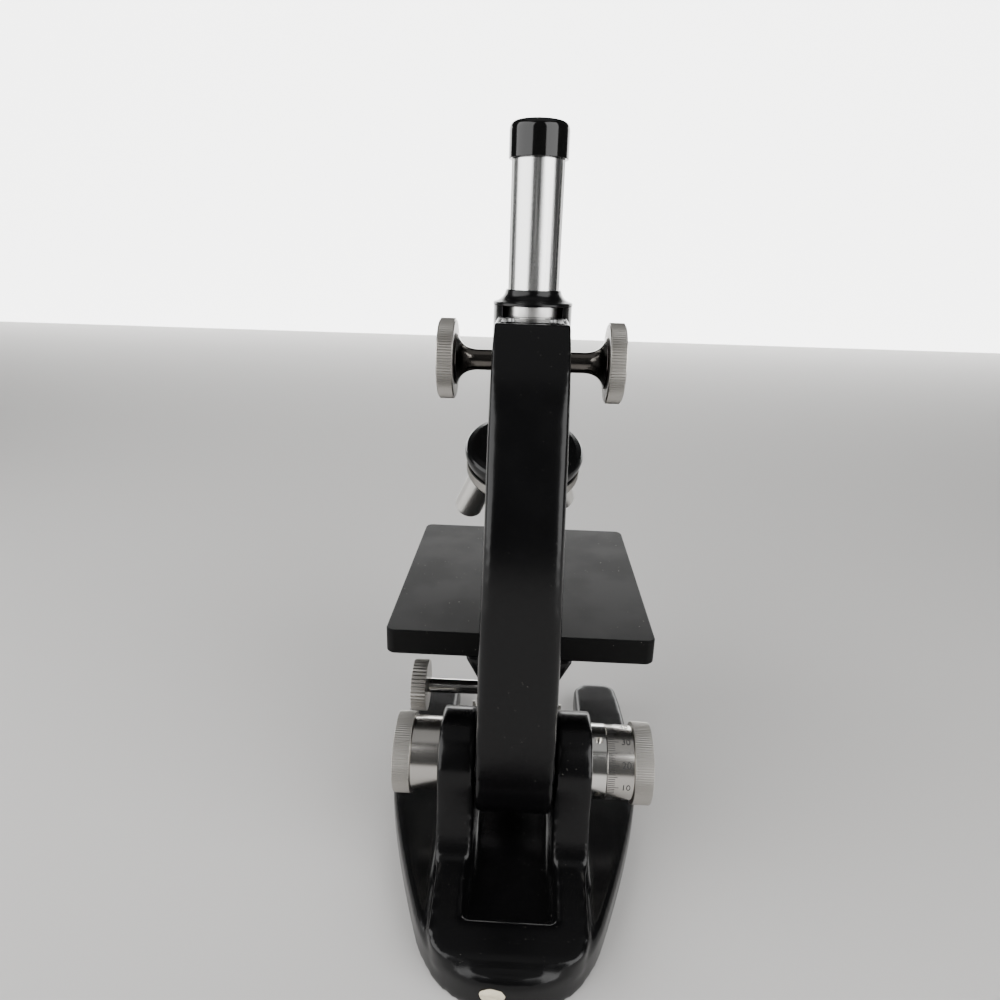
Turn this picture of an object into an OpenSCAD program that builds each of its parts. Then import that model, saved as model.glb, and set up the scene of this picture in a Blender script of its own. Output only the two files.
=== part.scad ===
// Upright monocular microscope with inclination joint. Units are millimetres.
// Frame: X right, Y away from the user, Z up, origin under the middle of the bounding box.
// Every piece is drawn in optical coordinates (the optical axis is x = 0, y = 0) and shifted once.

/* [Stand] */
// Half width of the horseshoe base
base_half_width = 68.5; // [66:0.5:70]
// Height of the lower tier of the base
base_height = 17; // [15:0.5:18]
// Height of the inclination and fine focus axis over the table
axis_z = 60; // [60:0.5:61]

/* [Stage] */
// Stage width, side to side
stage_width = 131; // [125:1:135]
// Stage thickness
stage_thick = 13; // [11:0.5:13]
// Radius of the light opening in the stage
aperture_r = 15; // [14:0.5:18]

/* [Focus] */
// Radius of the coarse focus knobs
coarse_knob_r = 17.9; // [16:0.1:19]
// Radius of the fine focus drums
fine_drum_r = 17; // [16:0.25:17.5]
// Radius of the condenser focus knob
cond_knob_r = 13.7; // [12:0.1:14.5]

/* [Optics] */
// Height where the eyepiece tube ends
tube_top = 331.6; // [325:0.2:335]
// Tilt of the nosepiece axis
nose_tilt = 20; // [19:0.5:21]
// Radius of the eyepiece cap
cap_r = 14.1; // [13:0.05:15]

/* [Hidden] */
axis_y = 41.4;                // optical axis, measured from the middle of the box
fy = -82;                    // inclination and fine focus axis
fz = axis_z;
cy = -42;                    // coarse pinion axis
cz = 244;
ky = -37;                    // condenser pinion axis
kz = 67.5;
mz = 30;                     // mirror centre
mirror_r = 18;               // radius of the seats of the two mirror glasses
stage_top = 116;
gm = 0.6;                    // module of the racks
pin_z = 16;                  // teeth on the rack pinions
pin_r = gm * pin_z / 2;
fm = 0.5;                    // module of the fine reduction
fine_p = 10;
fine_w = 64;
fine_c = fm * (fine_p + fine_w) / 2;
wz = fz + fine_c;            // axis of the reduction wheel
seat_r = 19;                 // radius of the objective seats about the nosepiece axis
seat_z = 169;
nose_turn = 6.5;             // the nosepiece is screwed home a little off the middle plane
cheek_in = 18.3;             // inner and outer faces of the cheeks
cheek_out = 35.3;
limb_half = 17.6;            // half width of the limb between the cheeks
turret_y = seat_r * cos(nose_tilt);
turret_z = seat_z + seat_r * sin(nose_tilt);
$fn = 64;

enamel = [0.07, 0.07, 0.08];
nickel = [0.74, 0.74, 0.72];
steel = [0.6, 0.6, 0.62];
gunmetal = [0.3, 0.31, 0.33];
glassy = [0.75, 0.85, 0.9];

// ---------- shared helpers ----------
module axial() translate([0, axis_y, 0]) children();

// A profile drawn in (y, z), extruded along x from x0 to x1.
module slab_x(x0, x1) translate([x0, 0, 0]) rotate([90, 0, 90]) linear_extrude(x1 - x0) children();

// A bar along x.
module rod_x(y, z, r, x0, x1) translate([x0, y, z]) rotate([0, 90, 0]) cylinder(h = x1 - x0, r = r);

module rod_z(x, y, r, z0, z1) translate([x, y, z0]) cylinder(h = z1 - z0, r = r);

module box(x0, x1, y0, y1, z0, z1) translate([x0, y0, z0]) cube([x1 - x0, y1 - y0, z1 - z0]);

function arc(cx, cyy, r, a0, a1, n) = [for (i = [0 : n]) let (a = a0 + (a1 - a0) * i / n)
  [cx + r * cos(a), cyy + r * sin(a)]];

function bez(a, b, c, d, n) = [for (i = [0 : n]) let (t = i / n, s = 1 - t)
  a * s * s * s + b * 3 * s * s * t + c * 3 * s * t * t + d * t * t * t];

// Involute gear outline: module m, n teeth, tip and root radii, play taken off each tooth.
function inv_deg(rb, rho) = let (p = acos(rb / rho)) tan(p) * 180 / PI - p;
function half_at(m, n, play, rho) = let (r = m * n / 2, rb = r * cos(20), q = max(rho, rb))
  (PI * m / 2 - play) / (2 * r) * 180 / PI + inv_deg(rb, r) - inv_deg(rb, q);
function gear_pts(m, n, tip, root, play) = [for (i = [0 : n - 1]) let (c = 360 * i / n)
  each [for (s = [-1, 1], k = [0 : 3]) let (
    j = s < 0 ? k : 3 - k,
    rho = root + (tip - root) * j / 3,
    a = c + s * half_at(m, n, play, rho)) [rho * cos(a), rho * sin(a)]]];

// Fluted disc outline.
function flute_pts(r, depth, n) = [for (i = [0 : 2 * n - 1]) let (q = i % 2 == 0 ? r : r - depth)
  [q * cos(180 * i / n), q * sin(180 * i / n)]];

// Rack teeth as a (y, z) outline: pitch line at y = py, teeth point to -y, gap centred at z = zc.
function rack_pts(py, zc, k0, k1, back) = concat([[back, zc + k0 * gm * PI]],
  [for (k = [k0 : k1 - 1]) let (z = zc + (k + 0.5) * gm * PI, h = (PI * gm / 2 - 0.1) / 2)
    each [[py + 0.72, z - h - 0.26], [py - 0.52, z - h + 0.19], [py - 0.52, z + h - 0.19],
      [py + 0.72, z + h + 0.26]]],
  [[back, zc + k1 * gm * PI]]);

// Dovetail in plan: wide at y0, narrow at y0 + 6, then a straight stem to y1.
module tail_plan(y0, y1, g) polygon([[-8.5 - g, y0 - g], [8.5 + g, y0 - g], [6 + g, y0 + 6.5],
  [6 + g, y1], [-6 - g, y1], [-6 - g, y0 + 6.5]]);

module rounded_plan(w, y0, y1, r) {
  translate([-w / 2 + r, y0]) square([w - 2 * r, y1 - y0]);
  translate([-w / 2, y0 + r]) square([w, y1 - y0 - 2 * r]);
  for (x = [-w / 2 + r, w / 2 - r], y = [y0 + r, y1 - r]) translate([x, y]) circle(r = r);
}

// ---------- base ----------
// Outline of the horseshoe, without its opening, drawn in by g.
function base_side(g) = let (w = base_half_width - g) concat(
  bez([0, -163 + g], [26 - 0.3 * g, -163 + g], [36.9 - 0.7 * g, -148 + 0.7 * g],
    [44.5 - 0.9 * g, -125 + 0.4 * g], 16),
  bez([44.5 - 0.9 * g, -125 + 0.4 * g], [55.6 - g, -95 + 0.3 * g], [w, -52], [w, -30], 16),
  bez([w, -20], [w, 5], [w - 0.5, 25], [w - 2.4, 40], 8),
  arc(58, 42, 8 - g, 8, 90, 8),
  arc(47, 43, 7 - g, 90, 172, 8));

function mirrored(pts) = [for (i = [len(pts) - 1 : -1 : 0]) [-pts[i][0], pts[i][1]]];

function base_outline(g) = concat(base_side(g), mirrored(base_side(g)));

module base_opening(g) {
  translate([0, -8]) circle(r = 38 + g);
  translate([-38 - g, -8]) square([76 + 2 * g, 80]);
}

module base_tier(z0, z1, g) translate([0, 0, z0]) linear_extrude(z1 - z0) difference() {
  polygon(base_outline(g));
  base_opening(g);
}

module cheek_profile() {
  translate([fy, fz]) circle(r = 22.5);
  polygon(concat([[fy - 36, 10]], bez([fy - 35, 20], [fy - 28, 28], [fy - 22.5, 40], [fy - 22.5, fz], 10),
    bez([fy + 22.5, fz], [fy + 22.5, 44], [fy + 25, 32], [fy + 31, 24], 10), [[fy + 32, 10]]));
}

// Raised tier behind and beside the cheeks: its top falls towards the heel.
module upper_tier() intersection() {
  linear_extrude(40) polygon(concat([[34, -52]], arc(21, -143, 13, 0, -90, 8), arc(-21, -143, 13, -90, -180, 8),
    [[-34, -52]]));
  slab_x(-40, 40) polygon([[-160, 10], [-52, 10], [-52, 27], [-112, 27], [-160, 18.5]]);
}

module base_casting() color(enamel) axial() difference() {
  union() {
    base_tier(0, base_height - 3, 0);
    base_tier(base_height - 3, base_height - 1, 0.8);
    base_tier(base_height - 1, base_height, 2.2);
    upper_tier();
    slab_x(-cheek_out, cheek_out) cheek_profile();
  }
  box(-cheek_in, cheek_in, -139, -30, base_height, 100);
  box(-20, 20, -139, -111, base_height, 100);
  rod_x(fy, fz, 12.05, -40, 40);
}

// ---------- limb ----------
limb_side = concat(
  arc(fy, fz, 25, 0, -180, 20),
  bez([-107, 62], [-109, 85], [-110, 100], [-110, 130], 10),
  bez([-110, 135], [-110, 190], [-96, 232], [-61, 262], 28),
  [[-24, 262], [-24, 218]],
  bez([-26, 214], [-52, 214], [-74, 196], [-74, 158], 20),
  bez([-74, 154], [-74, 138], [-72, 128], [-64.6, 118], 6),
  [[-64.6, stage_top - stage_thick], [-36, stage_top - stage_thick], [-36, 96]],
  bez([-37, 95], [-48, 92.3], [-57, 92.3], [-58, 92.3], 5));

limb_front = let (side = concat([[limb_half, 30], [limb_half, 105]],
  bez([limb_half, 110], [17.5, 140], [16.5, 165], [16.4, 185], 10), [[16.4, 264]]))
  concat(side, mirrored(side));

module limb_solid() {
  intersection() {
    slab_x(-20, 20) polygon(limb_side);
    translate([0, -20, 0]) rotate([90, 0, 0]) linear_extrude(95) polygon(limb_front);
  }
  // gussets that spread the load under the stage
  translate([0, -40, 0]) rotate([90, 0, 0]) linear_extrude(24.3) polygon([[-26, 103], [26, 103],
    [26, 101], [18, 86], [-18, 86], [-26, 101]]);
}

module limb_casting() color(enamel) axial() difference() {
  limb_solid();
  rod_x(fy, fz, 10, -9, 9);
  rod_x(fy, fz, 12, -20, -9);
  rod_x(fy, fz, 12, 9, 20);
  rod_x(fy, wz, 17.2, -9, 9);
  box(-9, 9, fy, -57, 62, 88);
  rod_x(fy, wz, 2.05, -14, 14);
  rod_z(0, fy, 2.5, wz + 15, 217);
  box(-11.3, 11.3, -60, -20, 216.4, 258.6);
  box(-8.3, 8.3, -86.5, -59, 216.4, 228);
  box(-11.3, 11.3, -38.7, -20, 200, 270);
  box(-13.5, 13.5, -58.5, -38.6, 258.5, 270);
  rod_x(cy, cz, 3.4, -30, 30);
  box(-12.2, 12.2, -57.4, -39, 80, 92.3);
  for (x = [-13, 13], y = [-56, -46]) rod_z(x, y, 1.6, 94, 110);
}

module trunnion(s) difference() {
  union() {
    rod_x(fy, fz, 12, min(s * 9, s * cheek_out), max(s * 9, s * cheek_out));
    if (s > 0) rod_x(fy, fz, 10, 35, 42);
  }
  rod_x(fy, fz, 3.06, -80, 80);
  rod_x(fy, fz, 7, min(s * 24, s * 32), max(s * 24, s * 32));
}

module trunnion_left() color(steel) axial() trunnion(-1);

module trunnion_right() color(steel) axial() trunnion(1);

module tension_collar() color(nickel) axial() difference() {
  rod_x(fy, fz, fine_drum_r + 0.2, cheek_out + 0.3, 42.2);
  rod_x(fy, fz, 10, 30, 50);
  for (a = [20, 110, 200, 290]) translate([38.8, fy, fz]) rotate([a, 0, 0]) translate([0, 0, 12.5])
    cylinder(h = 10, r = 1.7);
}

module head_cover() color(enamel) axial() difference() {
  box(-13.45, 13.45, -58.45, -38.7, 258.65, 262.3);
  for (x = [-9, 9]) rod_z(x, -49, 1.5, 250, 270);
}

module head_screws() color(steel) axial() for (x = [-9, 9]) difference() {
  rod_z(x, -49, 1.5, 258.7, 262.9);
  box(x - 2, x + 2, -49.25, -48.75, 262.4, 264);
}

// ---------- stage ----------
module stage_plate() color(enamel) axial() difference() {
  union() {
    translate([0, 0, stage_top - stage_thick + 0.5]) linear_extrude(stage_thick - 1)
      rounded_plan(stage_width, -64.5, 80.2, 4.5);
    translate([0, 0, stage_top - stage_thick]) linear_extrude(stage_thick)
      rounded_plan(stage_width - 1, -64, 79.7, 4);
  }
  rod_z(0, 0, aperture_r, 80, 130);
  for (x = [-13, 13], y = [-56, -46]) rod_z(x, y, 1.6, 90, stage_top - stage_thick + 7);
}

module stage_screws() color(steel) axial() for (x = [-13, 13], y = [-56, -46])
  rod_z(x, y, 1.6, 96, stage_top - stage_thick + 6.9);

// ---------- condenser guide and mirror bracket, both bolted to the limb ----------
module condenser_guide() color(enamel) axial() difference() {
  box(-12, 12, -56.9, -23, 52, 92);
  translate([0, 0, 40]) linear_extrude(60) tail_plan(-29.4, -15, 0.08);
  box(-6.2, 6.2, -33.8, -28, 40, 100);
  rod_x(ky, kz, 6, -6.2, 6.2);
  rod_x(ky, kz, 3.9, -14, 0);
  rod_x(ky, kz, 2.55, 0, 10);
  box(-14, 14, -70, -50, 40, 56);
}

module mirror_bracket() color(enamel) axial() difference() {
  union() {
    box(-7, 7, -49.9, -43, 22, 51.9);
    translate([0, -43, mz]) rotate([90, 0, 0]) cylinder(h = 12, r = 8);
  }
  translate([0, -42, mz]) rotate([90, 0, 0]) cylinder(h = 14, r = 3.05);
}

// ---------- fine focus ----------
module fine_shaft() color(steel) axial() {
  rod_x(fy, fz, 3, -56, 3.4);
  rod_x(fy, fz, 1.5, 3.4, 8.1);
  rod_x(fy, fz, 3, 8.1, 62.8);
}

module fine_pinion() color(steel) axial() difference() {
  translate([0, fy, fz]) slab_x(3.5, 8) rotate(90)
    polygon(gear_pts(fm, fine_p, 2.98, 1.95, 0.1));
  rod_x(fy, fz, 1.5, 0, 10);
}

module fine_drum_left() color(nickel) axial() difference() {
  rod_x(fy, fz, fine_drum_r, -48.8, -cheek_out - 0.3);
  rod_x(fy, fz, 3, -60, -30);
}

module fine_drum_right() color(nickel) axial() difference() {
  rod_x(fy, fz, fine_drum_r, 42.5, 55.2);
  rod_x(fy, fz, 3, 40, 70);
}

module fine_flange(x0, x1) difference() {
  slab_x(x0, x1) translate([fy, fz]) polygon(flute_pts(18.9, 0.4, 104));
  rod_x(fy, fz, 3, -70, 70);
}

module fine_flange_left() color(nickel) axial() difference() {
  fine_flange(-56.9, -48.8);
  rod_x(fy, fz, 13.5, -70, -56);
}

module fine_flange_right() color(nickel) axial() difference() {
  fine_flange(55.2, 63.7);
  rod_x(fy, fz, 13.5, 62.8, 70);
}

module reduction_wheel() color([0.75, 0.6, 0.3]) axial() difference() {
  translate([0, fy, wz]) slab_x(4, 7.5) rotate(180 / fine_w)
    polygon(gear_pts(fm, fine_w, fm * fine_w / 2 + 0.4, fm * fine_w / 2 - 0.65, 0.1));
  rod_x(fy, wz, 2, 0, 10);
}

// Spiral cam on its axle: the radius grows evenly, so the rod rises evenly with the wheel.
module focus_cam() color(steel) axial() {
  translate([0, fy, wz]) slab_x(-2.5, 4) polygon([for (a = [-170 : 5 : 170])
    [(9 + 0.5 * a / 140.625) * cos(90 + a), (9 + 0.5 * a / 140.625) * sin(90 + a)]]);
  rod_x(fy, wz, 2, -13.8, 13.8);
}

// ---------- coarse focus ----------
module coarse_block() color(enamel) axial() difference() {
  union() {
    box(-11.22, 11.22, -59.5, -24.2, 217.2, 257.8);
    box(-7.9, 7.9, -86, -59.5, 217.2, 227);
  }
  translate([0, 0, 200]) linear_extrude(70) tail_plan(-34, -15, 0.08);
  box(-6.2, 6.2, -38.6, -33, 200, 270);
  rod_x(cy, cz, 6, -6.2, 6.2);
  rod_x(cy, cz, 2.5, -20, 20);
  rod_z(0, fy, 2, 200, 222);
}

module push_rod() color(steel) axial() rod_z(0, fy, 2, wz + 9.08, 222);

module coarse_shaft() color(steel) axial() rod_x(cy, cz, 2.45, -33.6, 33.6);

module coarse_pinion() color(steel) axial() difference() {
  translate([0, cy, cz]) slab_x(-5.8, 5.8) polygon(gear_pts(gm, pin_z, pin_r + 0.52, pin_r - 0.75, 0.1));
  rod_x(cy, cz, 2.45, -10, 10);
}

// Trumpet hub, drawn along +z and turned onto the shaft.
module coarse_hub(s) translate([0, cy, cz]) rotate([0, s * 90, 0]) difference() {
  rotate_extrude() polygon(concat([[0, 17.2], [4.65, 17.2]],
    bez([4.65, 24], [4.8, 28], [6, 31.8], [11.5, 33.1], 10), [[11.5, 33.6], [0, 33.6]]));
  translate([0, 0, 10]) cylinder(h = 40, r = 2.45);
}

module coarse_hub_left() color(gunmetal) axial() coarse_hub(-1);

module coarse_hub_right() color(gunmetal) axial() coarse_hub(1);

module coarse_knob(s) translate([0, cy, cz]) rotate([0, s * 90, 0]) difference() {
  union() {
    translate([0, 0, 34.4]) linear_extrude(6.3) polygon(flute_pts(coarse_knob_r, 0.4, 90));
    translate([0, 0, 33.9]) cylinder(h = 7.3, r = coarse_knob_r - 0.8);
  }
  translate([0, 0, 40]) cylinder(h = 8, r = 15.4);
}

module coarse_knob_left() color(nickel) axial() union() {
  coarse_knob(-1);
  rod_x(cy, cz, 8.5, -36, -33.7);
}

module coarse_knob_right() color(nickel) axial() union() {
  coarse_knob(1);
  rod_x(cy, cz, 8.5, 33.7, 36);
}

// ---------- body tube ----------
module body_tube() color(enamel) axial() difference() {
  rod_z(0, 0, 19.5, 206, 265.9);
  rod_z(0, 0, 16, 200, 240);
  rod_z(0, 0, 12.5, 230, 270);
  rod_z(0, 0, 14.55, 261, 270);
  box(-14.5, 14.5, -30, 0, 261, 270);
}

module tube_slide() color(steel) axial() difference() {
  translate([0, 0, 196]) linear_extrude(65) tail_plan(-34, -19, 0);
  rod_z(0, 0, 19.5, 190, 270);
}

module tube_rack() color(steel) axial() slab_x(-4, 4)
  polygon(rack_pts(cy + pin_r, cz, -24, 9, -34));

module tube_ring() color(nickel) axial() difference() {
  rod_z(0, 0, 14.5, 261, 266);
  rod_z(0, 0, 12.5, 250, 270);
}

module tube_flare() color(enamel) axial() rotate_extrude() polygon(concat([[12.5, 266], [19.7, 266],
  [19.7, 267.2]], bez([19.2, 267.6], [16, 268.4], [14.2, 270], [13.6, 273.4], 8), [[12.5, 273.4]]));

module eyepiece_tube() color(nickel) axial() difference() {
  rod_z(0, 0, 12.5, 241, tube_top);
  rod_z(0, 0, 11.65, 230, 340);
}

// ---------- nosepiece ----------
// Nosepiece frame: origin at the middle of the seat circle, -z along the turning axis.
module nose() rotate([0, 0, nose_turn]) translate([0, turret_y, turret_z]) rotate([nose_tilt, 0, 0]) children();

module at_seat(a) rotate([0, 0, a]) translate([0, -seat_r, 0]) rotate([-nose_tilt, 0, 0]) children();

module nosepiece_housing() color(enamel) axial() nose() difference() {
  union() {
    rotate_extrude() polygon(concat([[0, 5.3], [30, 5.3]],
      bez([31.6, 8.4], [32.8, 11.2], [33.2, 14.2], [31.4, 15.6], 8), [[28.5, 16.6], [0, 17]]));
    intersection() {
      at_seat(0) cylinder(h = 36.95, r = 17.5);
      translate([-40, -60, 5.3]) cube([80, 100, 60]);
    }
  }
  at_seat(0) translate([0, 0, -10]) cylinder(h = 60, r = 9);
  translate([0, 0, 5]) cylinder(h = 9, r = 3);
}

module nosepiece_pivot() color(steel) axial() nose() {
  translate([0, 0, -4]) cylinder(h = 18, r = 3);
  translate([0, 0, -5.5]) cylinder(h = 3.2, r = 6);
}

module turret_plate() color(enamel) axial() nose() difference() {
  union() {
    translate([0, 0, -2]) cylinder(h = 7, r = 30.2);
    for (a = [0, 120, 240]) at_seat(a) cylinder(h = 4, r = 11.2);
  }
  translate([0, 0, 5]) cylinder(h = 10, r = 40);
  translate([0, 0, -10]) cylinder(h = 30, r = 3.06);
  translate([0, 0, -10]) cylinder(h = 7.9, r = 12);
  for (a = [0, 120, 240]) at_seat(a) translate([0, 0, -12]) cylinder(h = 24, r = 10.1);
  for (a = [0, 120, 240]) at_seat(a) translate([0, 0, -12]) cylinder(h = 12, r = 11.6);
}

module turret_ring() color(nickel) axial() nose() difference() {
  linear_extrude(4.9) polygon(flute_pts(31.5, 0.4, 110));
  translate([0, 0, -5]) cylinder(h = 15, r = 30.3);
}

// Objective with its seat at z = 0, pointing to -z, len long below the seat.
module objective(len) difference() {
  union() {
    cylinder(h = 1.4, r = 10.1);
    translate([0, 0, -1.5]) cylinder(h = 1.51, r = 11.2);
    translate([0, 0, -7]) cylinder(h = 6, r = 9.4);
    translate([0, 0, -len + 2]) cylinder(h = len - 8, r = 8.5);
    translate([0, 0, -len]) cylinder(h = 2.01, r1 = 7.4, r2 = 8.5);
  }
  translate([0, 0, -len + 3]) cylinder(h = len + 10, r = 3);
  translate([0, 0, -len - 1]) cylinder(h = 5, r = 2.2);
  translate([0, 0, -len - 1]) cylinder(h = 2, r = 5.6);
}

module objective_low() color(nickel) axial() nose() at_seat(0) objective(33);

module objective_medium() color(nickel) axial() nose() at_seat(120) objective(38);

module objective_high() color(nickel) axial() nose() at_seat(240) objective(45);

module front_lens(len) translate([0, 0, -len + 1.1]) cylinder(h = 1.8, r = 2.19);

module front_lens_low() color(glassy) axial() nose() at_seat(0) front_lens(33);

module front_lens_medium() color(glassy) axial() nose() at_seat(120) front_lens(38);

module front_lens_high() color(glassy) axial() nose() at_seat(240) front_lens(45);

// ---------- eyepiece ----------
module eyepiece_barrel() color(nickel) axial() difference() {
  rod_z(0, 0, 11.6, tube_top - 32, tube_top + 3);
  rod_z(0, 0, 10.4, 200, 400);
}

module eyepiece_cap() color([0.05, 0.05, 0.05]) axial() difference() {
  rotate_extrude() polygon(concat([[11.62, tube_top + 0.2], [cap_r, tube_top + 0.2]],
    bez([cap_r, tube_top + 12], [cap_r, tube_top + 14.8], [cap_r - 1.6, tube_top + 16.2],
    [cap_r - 4, tube_top + 16.2], 8), [[5, tube_top + 16.2], [4, tube_top + 12], [4, tube_top + 8],
    [10.4, tube_top + 4], [11.62, tube_top + 3.1]]));
}

module eye_lens() color(glassy) axial() rod_z(0, 0, 3.98, tube_top + 8.4, tube_top + 11);

module field_lens() color(glassy) axial() rod_z(0, 0, 10.38, tube_top - 31, tube_top - 28);

// ---------- condenser ----------
module condenser_slide() color(enamel) axial() difference() {
  union() {
    translate([0, 0, 60]) linear_extrude(40) tail_plan(-29.4, -19, 0);
    rod_z(0, 0, 21.5, 79, 100);
  }
  rod_z(0, 0, 18.5, 50, 120);
  rod_z(0, 0, 20.4, 50, 79);
}

module condenser_rack() color(steel) axial() slab_x(-4, 4)
  polygon(rack_pts(ky + pin_r, kz, -4, 15, -29.4));

module condenser_body() color(nickel) axial() difference() {
  union() {
    rod_z(0, 0, 16.9, 73.9, 79);
    rod_z(0, 0, 18.48, 78, 101);
    translate([0, 0, 101]) cylinder(h = 2, r1 = 16, r2 = 12);
    rod_z(0, 0, 12, 103, 115);
  }
  rod_z(0, 0, 14, 70, 98);
  rod_z(0, 0, 9, 90, 120);
}

module condenser_lens() color(glassy) axial() rod_z(0, 0, 8.98, 104, 115.3);

module filter_carrier() color(enamel) axial() difference() {
  rod_z(0, 0, 19.5, 71, 73.85);
  rod_z(0, 0, 15, 60, 72.4);
  rod_z(0, 0, 13.5, 60, 80);
}

module iris_ring() color(nickel) axial() difference() {
  union() {
    rod_z(0, 0, 20, 74.2, 77.8);
    box(18, 33, -1.5, 1.5, 75, 77.6);
    rod_z(33, 0, 2.6, 74.2, 77.8);
  }
  rod_z(0, 0, 16.98, 60, 90);
}

module condenser_shaft() color(steel) axial() {
  rod_x(ky, kz, 2.5, -6, 9.8);
  rod_x(ky, kz, 3.85, -48.8, -6);
}

module condenser_pinion() color(steel) axial() difference() {
  translate([0, ky, kz]) slab_x(-5.8, 5.8) polygon(gear_pts(gm, pin_z, pin_r + 0.52, pin_r - 0.75, 0.1));
  rod_x(ky, kz, 2.5, -10, 10);
}

module condenser_knob() color(nickel) axial() difference() {
  slab_x(-56.3, -48.3) translate([ky, kz]) polygon(flute_pts(cond_knob_r, 0.7, 42));
  rod_x(ky, kz, 3.85, -48.8, -40);
  rod_x(ky, kz, 9, -60, -55.3);
}

// ---------- mirror ----------
module mirror_fork() color(nickel) axial() difference() {
  union() {
    translate([0, -23, mz]) rotate([90, 0, 0]) cylinder(h = 33, r = 3);
    difference() {
      rod_z(0, 0, 25, mz - 3, mz + 3);
      rod_z(0, 0, 22, mz - 10, mz + 10);
      box(-50, 50, 4, 50, 0, 60);
    }
  }
  rod_x(0, mz, 1.56, -50, 50);
}

module mirror_frame() color(nickel) axial() difference() {
  union() {
    rod_z(0, 0, 19.5, mz - 4, mz + 4);
    rod_x(0, mz, 1.5, -26.2, 26.2);
    rod_x(0, mz, 2.6, -21.6, -18.5);
    rod_x(0, mz, 2.6, 18.5, 21.6);
    rod_x(0, mz, 2.6, -26.8, -25.4);
    rod_x(0, mz, 2.6, 25.4, 26.8);
  }
  rod_z(0, 0, mirror_r, mz + 1, mz + 10);
  rod_z(0, 0, mirror_r, mz - 10, mz - 1);
}

module mirror_plane() color([0.85, 0.88, 0.9]) axial() rod_z(0, 0, mirror_r - 0.02, mz + 1, mz + 3.4);

module mirror_concave() color([0.85, 0.88, 0.9]) axial() rotate_extrude() polygon(concat(
  [[0, mz - 1], [mirror_r - 0.02, mz - 1]], [for (i = [0 : 8]) let (r = (mirror_r - 0.02) * (1 - i / 8))
  [r, mz - 1.7 - 1.4 * pow(r / mirror_r, 2)]]));

base_casting();
limb_casting();
trunnion_left();
trunnion_right();
tension_collar();
head_cover();
head_screws();
stage_plate();
stage_screws();
condenser_guide();
mirror_bracket();
fine_shaft();
fine_pinion();
fine_drum_left();
fine_flange_left();
fine_drum_right();
fine_flange_right();
reduction_wheel();
focus_cam();
coarse_block();
push_rod();
coarse_shaft();
coarse_pinion();
coarse_hub_left();
coarse_hub_right();
coarse_knob_left();
coarse_knob_right();
body_tube();
tube_slide();
tube_rack();
tube_ring();
tube_flare();
eyepiece_tube();
nosepiece_housing();
nosepiece_pivot();
turret_plate();
turret_ring();
objective_low();
objective_medium();
objective_high();
front_lens_low();
front_lens_medium();
front_lens_high();
eyepiece_barrel();
eyepiece_cap();
eye_lens();
field_lens();
condenser_slide();
condenser_rack();
condenser_body();
condenser_lens();
filter_carrier();
iris_ring();
condenser_shaft();
condenser_pinion();
condenser_knob();
mirror_fork();
mirror_frame();
mirror_plane();
mirror_concave();
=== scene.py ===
import math

import bpy
from mathutils import Matrix, Vector


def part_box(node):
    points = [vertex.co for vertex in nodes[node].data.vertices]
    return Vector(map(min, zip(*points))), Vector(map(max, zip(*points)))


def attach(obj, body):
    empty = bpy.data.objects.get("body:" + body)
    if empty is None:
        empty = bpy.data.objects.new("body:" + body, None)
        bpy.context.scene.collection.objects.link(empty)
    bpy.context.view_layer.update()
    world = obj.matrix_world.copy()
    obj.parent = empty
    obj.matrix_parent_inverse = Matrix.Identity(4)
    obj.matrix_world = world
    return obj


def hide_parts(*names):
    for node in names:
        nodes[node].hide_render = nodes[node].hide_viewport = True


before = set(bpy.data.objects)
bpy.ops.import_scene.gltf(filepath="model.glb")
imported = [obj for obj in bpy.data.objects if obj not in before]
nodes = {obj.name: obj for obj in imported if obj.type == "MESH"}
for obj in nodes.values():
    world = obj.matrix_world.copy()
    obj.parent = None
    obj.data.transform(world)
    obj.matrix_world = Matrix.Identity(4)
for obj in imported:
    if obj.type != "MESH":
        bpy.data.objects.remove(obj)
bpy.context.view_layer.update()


# ---- Camera ----
# It stands behind the limb, where a user sits, a little above the eyepiece and looking down.
# Its place is measured from the optical axis, which is where the eyepiece tube stands.

low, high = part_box("eyepiece_tube")
OPTICAL_Y = (low[1] + high[1]) / 2
CAMERA_AT = Vector((-0.00113, OPTICAL_Y - 0.36245, 0.28713))
PITCH, YAW, ROLL = math.radians(18.96), math.radians(-1.98), math.radians(-1.62)
forward = Vector((math.sin(YAW) * math.cos(PITCH), math.cos(YAW) * math.cos(PITCH), -math.sin(PITCH)))
across = Vector((math.cos(YAW), -math.sin(YAW), 0))
down = forward.cross(across)
right = math.cos(ROLL) * across + math.sin(ROLL) * down
below = -math.sin(ROLL) * across + math.cos(ROLL) * down
turn = Matrix((right, -below, -forward)).transposed().to_4x4()
lens = bpy.data.cameras.new("camera")
lens.lens = 25.2
lens.sensor_width = 36
lens.clip_start = 0.01
camera = bpy.data.objects.new("camera", lens)
bpy.context.scene.collection.objects.link(camera)
camera.matrix_world = Matrix.Translation(CAMERA_AT) @ turn
bpy.context.scene.camera = camera


# ---- Floor, backdrop and lights ----
# The microscope stands on a plain pale floor before a white backdrop, in plain soft studio light.
# Two tall soft boxes behind the user's shoulders give the tubes their long bright bands.

def settle(piece, name):
    """Names a new piece and puts its place into its mesh."""
    bpy.ops.object.select_all(action="DESELECT")
    piece.select_set(True)
    bpy.context.view_layer.objects.active = piece
    bpy.ops.object.transform_apply(location=True, rotation=True, scale=True)
    piece.name = name
    piece.data.name = name
    return piece


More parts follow.
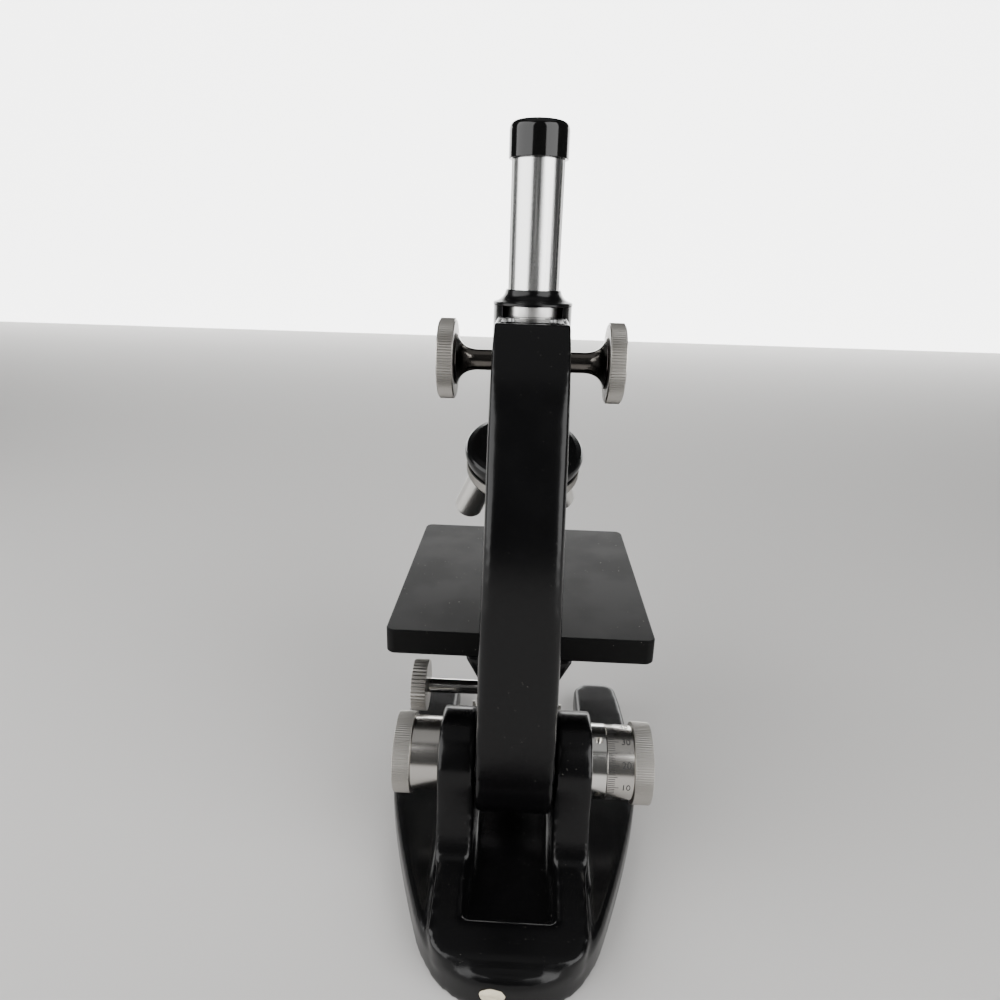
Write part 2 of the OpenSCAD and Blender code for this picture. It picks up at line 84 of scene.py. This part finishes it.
def plain_material(name, colour, roughness, metallic=0.0):
    """A Principled material with its constants on the shader itself."""
    material = bpy.data.materials.new(name)
    material.use_nodes = True
    shader = material.node_tree.nodes["Principled BSDF"]
    shader.inputs["Base Color"].default_value = (*colour, 1)
    shader.inputs["Roughness"].default_value = roughness
    shader.inputs["Metallic"].default_value = metallic
    return material, shader


def noise(tree, scale, detail=2.0, stretch=(1, 1, 1)):
    """Noise in the object's own coordinates, finer along an axis where stretch is large."""
    place = tree.nodes.new("ShaderNodeTexCoord")
    mapping = tree.nodes.new("ShaderNodeMapping")
    mapping.inputs["Scale"].default_value = stretch
    texture = tree.nodes.new("ShaderNodeTexNoise")
    texture.inputs["Scale"].default_value = scale
    texture.inputs["Detail"].default_value = detail
    tree.links.new(place.outputs["Object"], mapping.inputs["Vector"])
    tree.links.new(mapping.outputs["Vector"], texture.inputs["Vector"])
    return texture


def ramp(tree, source, low_at, high_at):
    """0 below low_at, 1 above high_at."""
    step = tree.nodes.new("ShaderNodeMapRange")
    step.inputs["From Min"].default_value = low_at
    step.inputs["From Max"].default_value = high_at
    tree.links.new(source, step.inputs["Value"])
    return step.outputs["Result"]


def block(name, low_at, high_at):
    """A box between two corners."""
    bpy.ops.object.select_all(action="DESELECT")
    middle = [(p + q) / 2 for p, q in zip(low_at, high_at)]
    size = [q - p for p, q in zip(low_at, high_at)]
    bpy.ops.mesh.primitive_cube_add(size=1, location=middle, scale=size)
    return settle(bpy.context.object, name)


HALF_WIDTH = 2.6
THICKNESS = 0.02
BACKDROP_Y = OPTICAL_Y + 2.424
BACKDROP_BACK = BACKDROP_Y + 0.05
BACKDROP_TOP = 1.3
pale_floor, _ = plain_material("pale_floor", (0.52, 0.51, 0.5), 0.7)
floor = block("floor", (-HALF_WIDTH, -HALF_WIDTH, -THICKNESS), (HALF_WIDTH, BACKDROP_Y, 0))
floor.data.materials.append(pale_floor)

white_paint, white_shader = plain_material("white_backdrop", (0.9, 0.9, 0.9), 0.8)
white_shader.inputs["Emission Color"].default_value = (1, 1, 0.99, 1)
white_shader.inputs["Emission Strength"].default_value = 5.0
backdrop = block("backdrop", (-HALF_WIDTH, BACKDROP_Y, -THICKNESS), (HALF_WIDTH, BACKDROP_BACK, BACKDROP_TOP))
backdrop.data.materials.append(white_paint)


def soft_box(name, at, aim, size, power):
    """A rectangular area light aimed at a point."""
    light = bpy.data.lights.new(name, "AREA")
    light.shape = "RECTANGLE"
    light.size, light.size_y = size
    light.energy = power
    holder = bpy.data.objects.new(name, light)
    bpy.context.scene.collection.objects.link(holder)
    holder.location = at
    holder.rotation_euler = (Vector(aim) - Vector(at)).to_track_quat("-Z", "Y").to_euler()


MIDDLE = (0, 0, 0.17)
soft_box("left_window", (-0.78, -0.41, 0.45), MIDDLE, (1.25, 1.3), 24)
soft_box("right_window", (0.67, -0.56, 0.45), MIDDLE, (0.78, 1.3), 17)
soft_box("ceiling", (0, -0.1, 1.6), MIDDLE, (1.6, 1.2), 2)
world = bpy.data.worlds.new("studio")
world.use_nodes = True
world.node_tree.nodes["Background"].inputs["Color"].default_value = (1, 1, 1, 1)
world.node_tree.nodes["Background"].inputs["Strength"].default_value = 0.05
bpy.context.scene.world = world


# ---- Base ----
# One iron casting: the horseshoe, a raised tier and the two cheeks that hold the inclination joint.
# Its edges are soft from the mould and filled, and it is stoved with black enamel.

FILM_ROUGHNESS = 0.05
DUST_COLOUR = (0.55, 0.52, 0.47)


def make_dust():
    """The node group of dust: fine pale specks and a faint film over a finish."""
    group = bpy.data.node_groups.new("dust", "ShaderNodeTree")
    face = group.interface
    for name, kind in (("Color", "NodeSocketColor"), ("Dust Color", "NodeSocketColor"),
                       ("Roughness", "NodeSocketFloat"), ("Amount", "NodeSocketFloat")):
        face.new_socket(name, in_out="INPUT", socket_type=kind)
    face.new_socket("Color", in_out="OUTPUT", socket_type="NodeSocketColor")
    face.new_socket("Roughness", in_out="OUTPUT", socket_type="NodeSocketFloat")
    start = group.nodes.new("NodeGroupInput")
    end = group.nodes.new("NodeGroupOutput")
    specks = ramp(group, noise(group, 900, 1).outputs["Fac"], 0.775, 0.79)
    patches = ramp(group, noise(group, 38, 3).outputs["Fac"], 0.42, 0.62)
    both = group.nodes.new("ShaderNodeMath")
    both.operation = "MULTIPLY"
    group.links.new(specks, both.inputs[0])
    group.links.new(patches, both.inputs[1])
    scaled = group.nodes.new("ShaderNodeMath")
    scaled.operation = "MULTIPLY"
    group.links.new(both.outputs[0], scaled.inputs[0])
    group.links.new(start.outputs["Amount"], scaled.inputs[1])
    mix = group.nodes.new("ShaderNodeMix")
    mix.data_type = "RGBA"
    group.links.new(scaled.outputs[0], mix.inputs[0])
    group.links.new(start.outputs["Color"], mix.inputs[6])
    group.links.new(start.outputs["Dust Color"], mix.inputs[7])
    group.links.new(mix.outputs[2], end.inputs["Color"])
    film = group.nodes.new("ShaderNodeMath")
    film.operation = "MULTIPLY_ADD"
    group.links.new(patches, film.inputs[0])
    film.inputs[1].default_value = FILM_ROUGHNESS
    group.links.new(start.outputs["Roughness"], film.inputs[2])
    group.links.new(film.outputs[0], end.inputs["Roughness"])
    return group


DUST = make_dust()


def add_dust(material, shader, colour, roughness, amount):
    """Places the dust group before a material's shader."""
    tree = material.node_tree
    dust = tree.nodes.new("ShaderNodeGroup")
    dust.node_tree = DUST
    dust.inputs["Color"].default_value = (*colour, 1)
    dust.inputs["Dust Color"].default_value = (*DUST_COLOUR, 1)
    dust.inputs["Roughness"].default_value = roughness
    dust.inputs["Amount"].default_value = amount
    tree.links.new(dust.outputs["Color"], shader.inputs["Base Color"])
    tree.links.new(dust.outputs["Roughness"], shader.inputs["Roughness"])


def add_bump(material, shader, scale, strength, distance):
    """A fine unevenness of the surface."""
    tree = material.node_tree
    bump = tree.nodes.new("ShaderNodeBump")
    bump.inputs["Strength"].default_value = strength
    bump.inputs["Distance"].default_value = distance
    tree.links.new(noise(tree, scale, 2).outputs["Fac"], bump.inputs["Height"])
    tree.links.new(bump.outputs["Normal"], shader.inputs["Normal"])


ENAMEL_BLACK = (0.002, 0.002, 0.0022)
ENAMEL_ROUGHNESS = 0.2
enamel, enamel_shader = plain_material("black_enamel", ENAMEL_BLACK, ENAMEL_ROUGHNESS)
enamel_shader.inputs["Specular IOR Level"].default_value = 0.25
add_dust(enamel, enamel_shader, ENAMEL_BLACK, ENAMEL_ROUGHNESS, amount=0.12)
add_bump(enamel, enamel_shader, scale=260, strength=0.08, distance=0.0003)


def softened(node, name, voxel, passes):
    """A copy of a CAD casting with the soft edges that a mould and filler leave."""
    bpy.ops.object.select_all(action="DESELECT")
    piece = bpy.data.objects.new(name, nodes[node].data.copy())
    bpy.context.scene.collection.objects.link(piece)
    settle(piece, name)
    piece.data.materials.clear()
    bpy.ops.object.mode_set(mode="EDIT")
    bpy.ops.mesh.select_all(action="SELECT")
    bpy.ops.mesh.remove_doubles(threshold=0.00001)
    bpy.ops.object.mode_set(mode="OBJECT")
    skin = piece.modifiers.new("skin", "REMESH")
    skin.mode, skin.voxel_size = "VOXEL", voxel
    bpy.ops.object.modifier_apply(modifier="skin")
    filler = piece.modifiers.new("filler", "SMOOTH")
    filler.factor, filler.iterations = 0.5, passes
    bpy.ops.object.modifier_apply(modifier="filler")
    bpy.ops.object.shade_smooth()
    return piece


def finish_as(piece, material, slot, body, *stands_for):
    """Paints a piece, lets it ride on its body, and hides the CAD nodes it stands for."""
    piece.data.materials.clear()
    piece.data.materials.append(material)
    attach(piece, body)
    if stands_for:
        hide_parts(*stands_for)
    return piece


base = softened("base_casting", "base", voxel=0.0014, passes=5)
finish_as(base, enamel, "enamel", "base", "base_casting")

# The heel's back has lost a chip of enamel down to the cream filler.
filler_cream, _ = plain_material("cream_filler", (0.62, 0.56, 0.42), 0.7)
CHIP_HALF_MM = (5.4, 1.0, 3.4)
CHIP_AT = (-0.0055, OPTICAL_Y - 0.1627, 0.0095)
bpy.ops.object.select_all(action="DESELECT")
bpy.ops.mesh.primitive_ico_sphere_add(subdivisions=3, radius=0.001, scale=CHIP_HALF_MM, location=CHIP_AT)
chip = settle(bpy.context.object, "heel_chip")
rough = chip.modifiers.new("torn", "DISPLACE")
clouds = bpy.data.textures.new("torn_edge", "CLOUDS")
clouds.noise_scale = 0.0025
rough.texture, rough.strength = clouds, 0.0012
bpy.ops.object.modifier_apply(modifier="torn")
finish_as(chip, filler_cream, "enamel", "base")


# ---- Limb ----
# The curved casting that carries the tube, the stage and the mirror, enamelled like the base.
# It narrows towards its head, and its rear corners are rounded off for the hand that lifts it.

limb = softened("limb_casting", "limb", voxel=0.001, passes=12)
REAR_Y = OPTICAL_Y - 0.068
HANDLE_LOW, HANDLE_HIGH = 0.09, 0.25
FADE_INWARDS, FADE_LOW, FADE_HIGH = 0.012, 0.02, 0.05
rear = limb.vertex_groups.new(name="rear_corners")
for vertex in limb.data.vertices:
    if vertex.co.y < REAR_Y and HANDLE_LOW < vertex.co.z < HANDLE_HIGH:
        inwards = (REAR_Y - vertex.co.y) / FADE_INWARDS
        above = (vertex.co.z - HANDLE_LOW) / FADE_LOW
        beneath = (HANDLE_HIGH - vertex.co.z) / FADE_HIGH
        rear.add([vertex.index], min(inwards, above, beneath, 1), "REPLACE")
rounding = limb.modifiers.new("rounding", "SMOOTH")
rounding.vertex_group = "rear_corners"
rounding.factor, rounding.iterations = 0.5, 70
bpy.context.view_layer.objects.active = limb
bpy.ops.object.modifier_apply(modifier="rounding")
finish_as(limb, enamel, "enamel", "limb", "limb_casting")


# ---- Head cover and its screws ----
# A thin enamelled plate closes the top of the slideway, held by two small slotted screws.
# It is enamelled like the limb, and the screws are plain turned steel.

steel, _ = plain_material("turned_steel", (0.42, 0.42, 0.42), 0.3, 1.0)


def eased(node, width, angle=35):
    """A copy of a CAD piece whose turned or milled edges are broken."""
    name = node + "_finished"
    piece = bpy.data.objects.new(name, nodes[node].data.copy())
    bpy.context.scene.collection.objects.link(piece)
    settle(piece, name)
    piece.data.materials.clear()
    bpy.ops.object.mode_set(mode="EDIT")
    bpy.ops.mesh.select_all(action="SELECT")
    bpy.ops.mesh.remove_doubles(threshold=0.000005)
    bpy.ops.mesh.dissolve_limited(angle_limit=math.radians(0.5))
    bpy.ops.object.mode_set(mode="OBJECT")
    edge = piece.modifiers.new("edge", "BEVEL")
    edge.limit_method, edge.angle_limit = "ANGLE", math.radians(angle)
    edge.width, edge.segments = width, 2
    edge.use_clamp_overlap = True
    bpy.ops.object.modifier_apply(modifier="edge")
    bpy.ops.object.shade_smooth_by_angle(angle=math.radians(angle))
    flats = piece.modifiers.new("flats", "WEIGHTED_NORMAL")
    flats.keep_sharp = True
    bpy.ops.object.modifier_apply(modifier="flats")
    return piece


def paint_node(material, *names):
    """Gives a CAD node, whose shape is right, its real finish."""
    for node in names:
        for slot in nodes[node].material_slots:
            slot.material = material


finish_as(eased("head_cover", 0.0004), enamel, "enamel", "limb", "head_cover")
paint_node(steel, "head_screws")


# ---- Inclination joint ----
# Two trunnions pass through the cheeks; a bright capstan collar on the right sets how stiff they are.
# The collar is polished where the fingers and the tommy bar have turned it.

nickel, _ = plain_material("satin_nickel", (0.40, 0.385, 0.36), 0.33, 1.0)
bright, _ = plain_material("polished_nickel", (0.78, 0.77, 0.74), 0.16, 1.0)
finish_as(eased("tension_collar", 0.0003), bright, "nickel", "limb", "tension_collar")
paint_node(steel, "trunnion_left", "trunnion_right")


# ---- Fine focus heads ----
# Turned and finely fluted nickel heads on one shaft. The right drum has a hundred parts.
# One turn moves the tube 0.2 mm, so a part is 2 micrometres, and every tenth is numbered.

turned_nickel, _ = plain_material("turned_nickel", (0.55, 0.53, 0.5), 0.2, 1.0)
for node in ("fine_drum_left", "fine_drum_right"):
    finish_as(eased(node, 0.0003), turned_nickel, "nickel", "fine_knob", node)
FLUTE_EDGE, FLUTE_ANGLE = 0.00025, 50
for node in ("fine_flange_left", "fine_flange_right"):
    finish_as(eased(node, FLUTE_EDGE, FLUTE_ANGLE), nickel, "nickel", "fine_knob", node)
paint_node(steel, "fine_shaft", "fine_pinion")

ink, _ = plain_material("engraving_black", (0.01, 0.01, 0.01), 0.5)
low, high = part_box("fine_drum_right")
DRUM_START = low[0]
DRUM_RADIUS = (high[2] - low[2]) / 2
DRUM_AT = (0, (low[1] + high[1]) / 2, (low[2] + high[2]) / 2)
PARTS = 100
TWENTY_AT = math.radians(33)
MARK_WIDTH, MARK_DEPTH = 0.00026, 0.0001
TENTH_MARK, FIFTH_MARK, PART_MARK = 0.005, 0.0042, 0.0032
MARKS_FROM = DRUM_START + 0.0004
FIGURES_AT = DRUM_START + 0.0088
FIGURE_HEIGHT = 0.0044
FIGURE_DEPTH = 0.00016


def onto_drum(part):
    """Turns a mark from the back of the drum up to its own division."""
    turned = TWENTY_AT + math.tau * (part - 20) / PARTS
    bpy.ops.transform.rotate(value=turned, orient_axis="X", center_override=DRUM_AT)
    marks.append(settle(bpy.context.object, "mark"))


marks = []
for part in range(PARTS):
    length = TENTH_MARK if part % 10 == 0 else FIFTH_MARK if part % 5 == 0 else PART_MARK
    bpy.ops.object.select_all(action="DESELECT")
    bpy.ops.mesh.primitive_cube_add(size=1, scale=(length, MARK_DEPTH, MARK_WIDTH),
                                    location=(MARKS_FROM + length / 2, DRUM_AT[1] - DRUM_RADIUS, DRUM_AT[2]))
    onto_drum(part)
for tens in range(10):
    bpy.ops.object.select_all(action="DESELECT")
    bpy.ops.object.text_add(location=(FIGURES_AT, DRUM_AT[1] - DRUM_RADIUS + 0.00012, DRUM_AT[2]),
                            rotation=(math.pi / 2, 0, 0))
    figure = bpy.context.object
    figure.data.body = str(10 * tens)
    figure.data.size = FIGURE_HEIGHT
    figure.data.extrude = FIGURE_DEPTH
    figure.data.align_x, figure.data.align_y = "CENTER", "CENTER"
    bpy.ops.object.convert(target="MESH")
    onto_drum(10 * tens)
bpy.ops.object.select_all(action="DESELECT")
for mark in marks:
    mark.select_set(True)
bpy.context.view_layer.objects.active = marks[0]
bpy.ops.object.join()
finish_as(settle(bpy.context.object, "fine_scale"), ink, "gunmetal", "fine_knob")


# ---- Fine focus train ----
# Inside the limb the shaft's pinion turns a brass wheel, whose spiral cam lifts the push rod.
# The rod carries the block in which the coarse slide runs.

brass, _ = plain_material("brass", (0.7, 0.5, 0.22), 0.3, 1.0)
paint_node(brass, "reduction_wheel")
paint_node(steel, "focus_cam", "push_rod")
paint_node(enamel, "coarse_block")


# ---- Coarse focus heads ----
# Two fluted nickel rims on flared nickel hubs, joined by one shaft that carries the rack's pinion.
# The inner faces of the rims are turned bright.

# The hubs are bright nickel. Their dark colour is a painted reflection of the dark limb in them.
gunmetal, _ = plain_material("painted_dark_reflection_nickel", (0.13, 0.12, 0.11), 0.2, 1.0)
for side in ("left", "right"):
    rim = eased("coarse_knob_" + side, FLUTE_EDGE, FLUTE_ANGLE)
    finish_as(rim, nickel, "nickel", "coarse_knob", "coarse_knob_" + side)
    hub = eased("coarse_hub_" + side, 0.0003)
    finish_as(hub, gunmetal, "gunmetal", "coarse_knob", "coarse_hub_" + side)
paint_node(steel, "coarse_shaft", "coarse_pinion")


# ---- Stage ----
# A plain milled plate with a satin black finish, a little dusty.
# Its four screws come up from the limb's bracket and don't show.

STAGE_BLACK = (0.0025, 0.0025, 0.0025)
STAGE_ROUGHNESS = 0.5
stage_black, stage_shader = plain_material("stage_black", STAGE_BLACK, STAGE_ROUGHNESS)
stage_shader.inputs["Specular IOR Level"].default_value = 0.1
add_dust(stage_black, stage_shader, STAGE_BLACK, STAGE_ROUGHNESS, amount=0.3)
finish_as(eased("stage_plate", 0.0004), stage_black, "enamel", "limb", "stage_plate")
paint_node(steel, "stage_screws")


# ---- Body tube ----
# The enamelled tube with its dovetail slide and rack; a bright ring shows through the gap in its collar.
# The flare above the ring screws down on the tube.

chrome, _ = plain_material("bright_chrome", (0.74, 0.74, 0.73), 0.2, 1.0)
finish_as(eased("body_tube", 0.0004), enamel, "enamel", "tube", "body_tube")
finish_as(eased("tube_flare", 0.0003), enamel, "enamel", "tube", "tube_flare")
ring_nickel, _ = plain_material("ring_nickel", (0.85, 0.84, 0.82), 0.38, 1.0)
finish_as(eased("tube_ring", 0.0002), ring_nickel, "chrome", "tube", "tube_ring")
paint_node(steel, "tube_slide")
paint_node(brass, "tube_rack")


# ---- Eyepiece tube and eyepiece ----
# A chromed tube, faintly streaked along its length by years of sliding, with the eyepiece pushed in.
# The eyepiece's cap is turned from glossy black plastic.

streaked, streaked_shader = plain_material("streaked_chrome", (0.7, 0.7, 0.69), 0.2, 1.0)
streaked_shader.inputs["Specular Tint"].default_value = (0.1, 0.1, 0.1, 1)
tree = streaked.node_tree
streaks = ramp(tree, noise(tree, 600, 3, (1, 1, 0.02)).outputs["Fac"], 0.3, 0.8)
streak_roughness = tree.nodes.new("ShaderNodeMapRange")
streak_roughness.inputs["To Min"].default_value = 0.14
streak_roughness.inputs["To Max"].default_value = 0.34
tree.links.new(streaks, streak_roughness.inputs["Value"])
tree.links.new(streak_roughness.outputs["Result"], streaked_shader.inputs["Roughness"])
finish_as(eased("eyepiece_tube", 0.0002), streaked, "chrome", "tube", "eyepiece_tube")
cap_black, cap_shader = plain_material("cap_black", (0.003, 0.003, 0.003), 0.1)
cap_shader.inputs["Specular IOR Level"].default_value = 0.35
finish_as(eased("eyepiece_cap", 0.0003), cap_black, "cap", "eyepiece", "eyepiece_cap")
glass, glass_shader = plain_material("lens_glass", (0.9, 0.95, 0.98), 0.02)
glass_shader.inputs["Transmission Weight"].default_value = 1.0
paint_node(glass, "eye_lens", "field_lens")
paint_node(chrome, "eyepiece_barrel")


# ---- Nosepiece and objectives ----
# A domed enamel housing, and under it the turning plate with its finely fluted nickel ring.
# Three nickel objectives of three lengths are screwed into the plate.

finish_as(eased("turret_ring", 0.0002, FLUTE_ANGLE), nickel, "nickel", "turret", "turret_ring")
paint_node(enamel, "nosepiece_housing", "turret_plate")
paint_node(steel, "nosepiece_pivot")
barrel, _ = plain_material("objective_nickel", (0.8, 0.79, 0.76), 0.32, 1.0)
for power in ("low", "medium", "high"):
    node = "objective_" + power
    finish_as(eased(node, 0.0003), barrel, "chrome", "turret", node)
    paint_node(glass, "front_lens_" + power)


# ---- Condenser and iris ----
# The condenser slides in a guide under the stage and is moved by a rack and a fluted head on the left.
# Below its lens are the iris ring with its lever and a filter carrier.

for node, piece_finish, slot_name, body in (
        ("condenser_guide", enamel, "enamel", "limb"), ("condenser_slide", enamel, "enamel", "condenser"),
        ("condenser_body", nickel, "nickel", "condenser"), ("filter_carrier", enamel, "enamel", "condenser"),
        ("iris_ring", nickel, "nickel", "iris")):
    finish_as(eased(node, 0.0003), piece_finish, slot_name, body, node)
knob = eased("condenser_knob", FLUTE_EDGE, FLUTE_ANGLE)
finish_as(knob, nickel, "nickel", "condenser_knob", "condenser_knob")
paint_node(bright, "condenser_shaft")
paint_node(steel, "condenser_pinion")
paint_node(brass, "condenser_rack")
paint_node(glass, "condenser_lens")


# ---- Mirror ----
# A fork swings on a bracket below the condenser and holds a two sided mirror on two pins.
# One side is plane and the other hollow.

silver, _ = plain_material("silvering", (0.9, 0.92, 0.93), 0.02, 1.0)
finish_as(eased("mirror_bracket", 0.0004), enamel, "enamel", "limb", "mirror_bracket")
finish_as(eased("mirror_fork", 0.0003), nickel, "nickel", "fork", "mirror_fork")
finish_as(eased("mirror_frame", 0.0003), nickel, "nickel", "mirror", "mirror_frame")
paint_node(silver, "mirror_plane", "mirror_concave")
